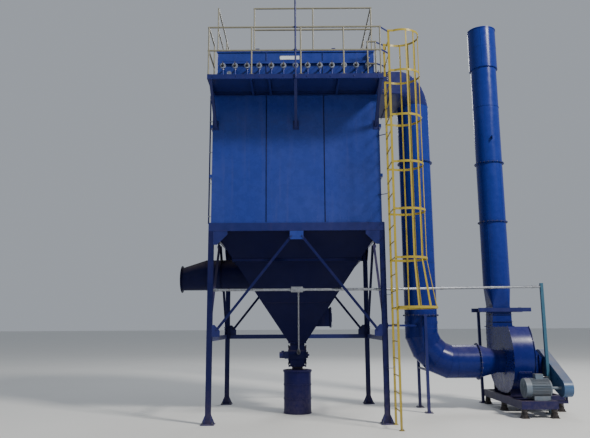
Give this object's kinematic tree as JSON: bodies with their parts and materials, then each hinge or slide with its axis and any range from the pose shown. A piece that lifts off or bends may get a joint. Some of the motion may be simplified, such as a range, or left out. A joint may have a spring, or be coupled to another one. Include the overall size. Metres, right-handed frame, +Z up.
{
  "type": "bag filter dust collector",
  "caption": "Pulse-jet bag filter on a steel tower, with hopper and rotary valve, service deck, caged ladder, duct, belt-driven fan and stack.",
  "frame": {"origin": "ground level, midway between the four columns of the tower", "axes": "+Z up, +X from the tower towards the fan, +Y away from the service deck"},
  "size_m": [8.05, 4.1399, 9.055],
  "materials": {
    "frame_paint": "semi-gloss",
    "duct_paint": "semi-gloss",
    "yellow_paint": "semi-gloss",
    "motor_paint": "satin",
    "guard_paint": "satin",
    "plate_white": "satin",
    "galvanised": "satin",
    "post_paint": "satin",
    "valve_metal": "satin",
    "isolator_metal": "satin"
  },
  "bodies": {
    "root": {"access_door": "frame_paint", "air_header": "frame_paint", "air_pipe": "galvanised", "base_plates": "frame_paint", "bearing_pedestal": "duct_paint", "belt_guard": "guard_paint", "braces": "frame_paint", "cage_hoops": "yellow_paint", "cage_straps": "yellow_paint", "columns": "frame_paint", "conduit": "galvanised", "conduit_post": "post_paint", "deck_frame": "frame_paint", "deck_plate": "frame_paint", "deck_rail_front": "yellow_paint", "deck_rail_left": "yellow_paint", "deck_rail_right": "yellow_paint", "door_neck": "frame_paint", "drum_lid": "frame_paint", "duct_posts": "frame_paint", "dust_drum": "frame_paint", "fan_casing": "duct_paint", "fan_inlet_duct": "duct_paint", "fan_motor": "motor_paint", "fan_skid": "frame_paint", "filter_housing": "frame_paint", "girts": "frame_paint", "gusset_plates": "frame_paint", "hopper": "frame_paint", "housing_ribs": "frame_paint", "inlet_duct": "frame_paint", "isolators": "isolator_metal", "ladder": "yellow_paint", "ladder_brackets": "yellow_paint", "lower_elbow": "duct_paint", "mast": "yellow_paint", "nameplate": "plate_white", "outlet_hood": "duct_paint", "plenum": "frame_paint", "pulse_valves": "valve_metal", "ring_beams": "frame_paint", "riser": "duct_paint", "roof": "frame_paint", "roof_rail_front": "yellow_paint", "roof_rail_left": "yellow_paint", "roof_rail_rear": "yellow_paint", "roof_rail_right": "yellow_paint", "rotary_valve": "frame_paint", "spout": "frame_paint", "stack_frame": "frame_paint", "stack_head": "duct_paint", "stack_neck": "duct_paint", "stack_tube": "duct_paint", "timer_box": "valve_metal", "tube_sheet": "frame_paint", "valve_drive": "motor_paint"}
  },
  "joints": []
}
